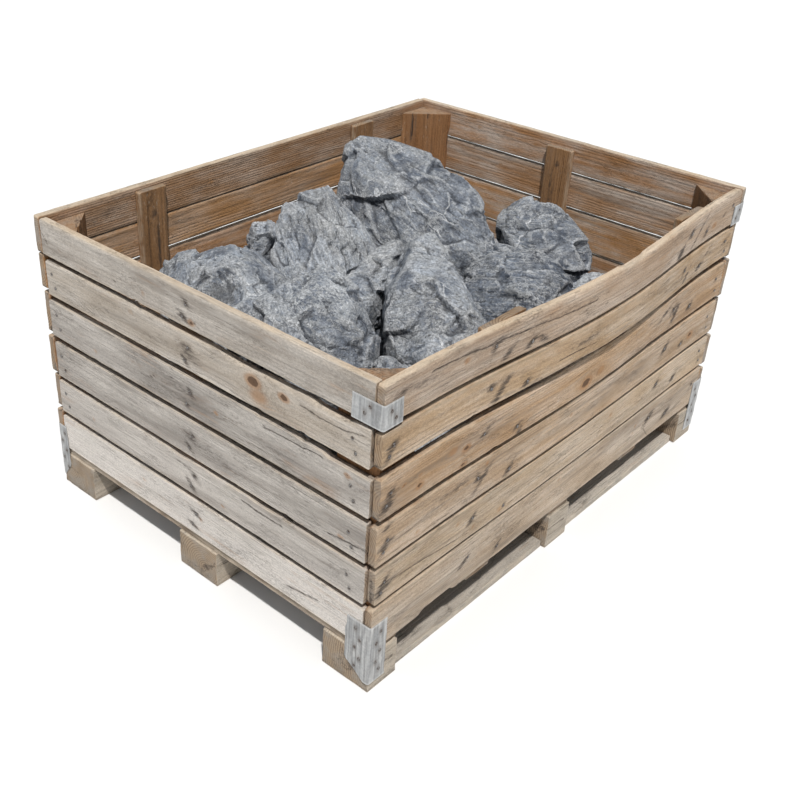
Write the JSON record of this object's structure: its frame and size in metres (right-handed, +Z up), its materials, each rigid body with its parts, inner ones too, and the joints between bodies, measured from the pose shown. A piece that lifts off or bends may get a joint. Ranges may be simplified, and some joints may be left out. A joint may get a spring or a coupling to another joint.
{
  "type": "stone-filled pallet bin",
  "caption": "Slatted wooden pallet bin on block feet with skids and fork openings, galvanised corner irons, heaped with large broken blue-grey quarry stones that lift out.",
  "frame": {"origin": "centre of the bin's footprint, on the ground under the feet", "axes": "+X along the long side towards the right end wall, +Y along the short side towards the back, +Z up"},
  "size_m": [1.6072, 1.2436, 0.913],
  "materials": {
    "long_boards": "sun-dried sawn softwood, warm tan with grey nail stains",
    "end_boards": "weathered silver-grey sawn softwood",
    "inner_wood": "less weathered sawn softwood, orange-brown",
    "base_wood": "rough sawn softwood, dirty and grey",
    "galvanised_sheet": "dull galvanised sheet with light streaks",
    "nail_steel": "dull weathered nail heads",
    "quarry_stone": "freshly broken blue-grey stone with fine white veins"
  },
  "bodies": {
    "bin": {"front_board_1": "long_boards", "front_board_2": "long_boards", "front_board_3": "long_boards", "front_board_4": "long_boards", "front_board_5": "long_boards", "front_board_6": "long_boards", "back_board_1": "long_boards", "back_board_2": "long_boards", "back_board_3": "long_boards", "back_board_4": "long_boards", "back_board_5": "long_boards", "back_board_6": "long_boards", "left_end_board_1": "end_boards", "left_end_board_2": "end_boards", "left_end_board_3": "end_boards", "left_end_board_4": "end_boards", "left_end_board_5": "end_boards", "left_end_board_6": "end_boards", "right_end_board_1": "end_boards", "right_end_board_2": "end_boards", "right_end_board_3": "end_boards", "right_end_board_4": "end_boards", "right_end_board_5": "end_boards", "right_end_board_6": "end_boards", "corner_post_front_left": "inner_wood", "corner_post_front_right": "inner_wood", "corner_post_back_left": "inner_wood", "corner_post_back_right": "inner_wood", "batten_front_left": "inner_wood", "batten_front_right": "inner_wood", "batten_back_left": "inner_wood", "batten_back_right": "inner_wood", "batten_left_end": "inner_wood", "batten_right_end": "inner_wood", "foot_blocks_front": "base_wood", "foot_blocks_middle": "base_wood", "foot_blocks_back": "base_wood", "skid_boards_front": "base_wood", "skid_boards_middle": "base_wood", "skid_boards_back": "base_wood", "cross_boards": "base_wood", "floor_boards": "base_wood", "top_corner_irons": "galvanised_sheet", "foot_corner_irons": "galvanised_sheet", "wall_nails": "nail_steel", "iron_nails": "nail_steel", "fill_stones": "quarry_stone", "side_stones": "quarry_stone"},
    "stone_crown": {"stone_crown": "quarry_stone"},
    "stone_pointed": {"stone_pointed": "quarry_stone"},
    "stone_chip": {"stone_chip": "quarry_stone"},
    "stone_left": {"stone_left": "quarry_stone"},
    "stone_layered": {"stone_layered": "quarry_stone"},
    "stone_wedge": {"stone_wedge": "quarry_stone"},
    "stone_dome": {"stone_dome": "quarry_stone"},
    "stone_dark": {"stone_dark": "quarry_stone"},
    "stone_round": {"stone_round": "quarry_stone"},
    "stone_corner": {"stone_corner": "quarry_stone"},
    "stone_low": {"stone_low": "quarry_stone"}
  },
  "joints": [
    {"name": "lift_crown", "type": "slide", "parent": "bin", "child": "stone_crown", "axis": [0, 0, 1], "range_m": [0, 0.5]},
    {"name": "lift_pointed", "type": "slide", "parent": "bin", "child": "stone_pointed", "axis": [0, 0, 1], "range_m": [0, 0.5]},
    {"name": "lift_chip", "type": "slide", "parent": "bin", "child": "stone_chip", "axis": [0, 0, 1], "range_m": [0, 0.5]},
    {"name": "lift_left", "type": "slide", "parent": "bin", "child": "stone_left", "axis": [0, 0, 1], "range_m": [0, 0.5]},
    {"name": "lift_layered", "type": "slide", "parent": "bin", "child": "stone_layered", "axis": [0, 0, 1], "range_m": [0, 0.5]},
    {"name": "lift_wedge", "type": "slide", "parent": "bin", "child": "stone_wedge", "axis": [0, 0, 1], "range_m": [0, 0.5]},
    {"name": "lift_dome", "type": "slide", "parent": "bin", "child": "stone_dome", "axis": [0, 0, 1], "range_m": [0, 0.5]},
    {"name": "lift_dark", "type": "slide", "parent": "bin", "child": "stone_dark", "axis": [0, 0, 1], "range_m": [0, 0.5]},
    {"name": "lift_round", "type": "slide", "parent": "bin", "child": "stone_round", "axis": [0, 0, 1], "range_m": [0, 0.5]},
    {"name": "lift_corner", "type": "slide", "parent": "bin", "child": "stone_corner", "axis": [0, 0, 1], "range_m": [0, 0.5]},
    {"name": "lift_low", "type": "slide", "parent": "bin", "child": "stone_low", "axis": [0, 0, 1], "range_m": [0, 0.5]}
  ]
}
